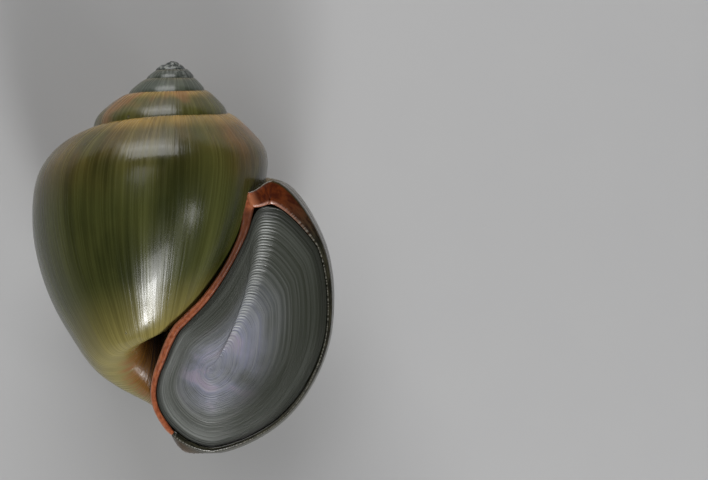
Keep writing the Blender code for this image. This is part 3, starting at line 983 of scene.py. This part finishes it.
def makeOperculumMaterial():
    made, tree, shader = newMaterial("operculumHorn", 0.12, 0.15)
    share, ring, side = field(tree, "share"), field(tree, "ring"), field(tree, "side")
    rounds, ridge, beat = field(tree, "rounds"), field(tree, "ridge"), field(tree, "beat")
    across = times(tree, rounds, 3.0)
    streaked = placeGroup(tree, growthLines, {"Grown": ring, "Across": across, "Spacing": 0.7})
    lines = streaked["Lines"]
    cloud = speckle(tree, times(tree, rounds, 0.35), times(tree, side, 1.6), 2.0)
    # a purplish tint with painted sheen round the nucleus, pinker in patches
    nucleusTintAndSheen = times(tree, falling(tree, share, 0.25, 0.72), rising(tree, cloud, 0.25, 0.6))
    masks = {
        "nucleusTintAndSheen": nucleusTintAndSheen,
        "pinkTintAndSheen": times(tree, nucleusTintAndSheen, rising(tree, cloud, 0.5, 0.62)),
        "lines": lines,
        "darkSide": rising(tree, side, 0.10, 0.70),
        "darkTop": rising(tree, rounds, 2.5, 7.0),
        # painted glints on the ridge's notches, painted shade in the grooves between them
        "notches": times(tree, ridge, rising(tree, beat, 0.35, 0.75)),
        "ridgeGrooveShade": times(tree, ridge, falling(tree, beat, 0.1, 0.35)),
        # a dark border, partly its own colour and partly painted shade at the gap to the lips
        "edge": rising(tree, share, 0.90, 0.97),
    }
    shade = paint(tree, streaked["Streaks"], *plateGround)
    shade = paintLayers(tree, shade, plateLayers, masks)
    dress(tree, shader, shade, plus(tree, times(tree, lines, 0.15), 0.28), lines, 0.0001)
    return made


shellSkin.data.materials.append(makeShellMaterial())
lipOuter.data.materials.append(makeOuterLipMaterial())
lipInner.data.materials.append(makeInnerLipMaterial())
plate.data.materials.append(makeOperculumMaterial())
print("materials made")


studio = {
    "floorSize": 6.0,
    "floorRoughness": 0.8,
    "floorTones": (colour(0.52, 0.52, 0.52), colour(0.52 * 0.97, 0.52 * 0.97, 0.52 * 0.98)),
    "floorCloud": 60.0,
    "airTone": 0.85,
    "airStrength": 0.05,
    "middle": (0.0, 0.0, 0.025),  # of the snail
    # name: (direction from the snail, distance, width, height, watts)
    "lights": {
        "topSoftbox": ((-0.16, 0.84, 0.50), 0.55, 0.42, 0.34, 2.0),
        "highSoftbox": ((-0.20, 0.96, 0.14), 0.60, 0.36, 0.20, 0.8),
        "footSoftbox": ((0.20, -0.86, 0.48), 0.55, 0.10, 0.09, 1.0),
        "footPanel": ((0.24, -0.78, 0.56), 0.60, 0.26, 0.26, 1.3),
        "sideWindow": ((0.66, -0.38, 0.64), 0.70, 0.10, 0.16, 0.28),
        "frontPanel": ((-0.25, 0.10, 0.96), 0.90, 0.30, 0.30, 0.5),
    },
}


def makeFloor():
    bpy.ops.object.select_all(action="DESELECT")
    bpy.ops.mesh.primitive_plane_add(size=studio["floorSize"])
    floor = bpy.context.object
    floor.name = "floor"
    made, tree, shader = newMaterial("floorPaper", 0.0, 0.03)
    where = addNode(tree, "TexCoord", {}).outputs["Object"]
    inputs = {"Vector": where, "Scale": studio["floorCloud"]}
    cloud = addNode(tree, "TexNoise", inputs).outputs["Fac"]
    shade = paint(tree, cloud, *studio["floorTones"])
    tree.links.new(shade, shader.inputs["Base Color"])
    shader.inputs["Roughness"].default_value = studio["floorRoughness"]
    floor.data.materials.append(made)


def makeLights():
    middle = Vector(studio["middle"])
    for name, (direction, distance, width, height, watts) in studio["lights"].items():
        towards = Vector(direction).normalized()
        bpy.ops.object.select_all(action="DESELECT")
        bpy.ops.object.light_add(type="AREA", location=middle + towards * distance)
        lamp = bpy.context.object
        lamp.name = name
        lamp.rotation_mode = "QUATERNION"
        lamp.rotation_quaternion = towards.to_track_quat("Z", "Y")
        lamp.data.shape = "RECTANGLE"
        lamp.data.size = width
        lamp.data.size_y = height
        lamp.data.energy = watts
        lamp.visible_camera = False
    world = bpy.data.worlds.new("studioAir")
    bpy.context.scene.world = world
    world.use_nodes = True
    tone = studio["airTone"]
    background = world.node_tree.nodes["Background"]
    background.inputs["Color"].default_value = colour(tone, tone, tone)
    background.inputs["Strength"].default_value = studio["airStrength"]


# The camera looks down on the lying shell as the photograph looks at the upright one.
view = {
    "roll": -0.0182,
    "nod": 0.0186,
    "swing": 0.0590,
    "centre": (34.64, 0.0, -34.83),  # the frame's middle in the turned shell frame, in millimetres
    "frameWidth": 135.8,
    "distance": 3000.0,
    "sensor": 36.0,
    "clip": (0.1, 20.0),
}


def turnMatrix():
    c, s = math.cos(view["roll"]), math.sin(view["roll"])
    roll = np.array([[c, -s, 0], [s, c, 0], [0, 0, 1]])
    c, s = math.cos(view["nod"]), math.sin(view["nod"])
    nod = np.array([[1, 0, 0], [0, c, s], [0, -s, c]])
    c, s = math.cos(view["swing"]), math.sin(view["swing"])
    swing = np.array([[c, 0, s], [0, 1, 0], [-s, 0, c]])
    return swing @ nod @ roll


def makeCamera():
    turn = turnMatrix()
    middle = turn.T @ np.array(view["centre"])
    right, away, up = (Vector((row[0], row[2], -row[1])) for row in turn)
    laid = Vector((middle[0], middle[2], -middle[1])) + Vector(layOffset)
    bpy.ops.object.select_all(action="DESELECT")
    bpy.ops.object.camera_add(location=(laid - away * view["distance"]) * mm)
    camera = bpy.context.object
    camera.rotation_mode = "QUATERNION"
    camera.rotation_quaternion = Matrix((right, up, -away)).transposed().to_quaternion()
    camera.data.sensor_width = view["sensor"]
    camera.data.lens = view["sensor"] * view["distance"] / view["frameWidth"]
    camera.data.clip_start, camera.data.clip_end = view["clip"]
    bpy.context.scene.camera = camera


makeFloor()
makeLights()
makeCamera()
bpy.context.scene.view_settings.view_transform = "Standard"
print("studio made")
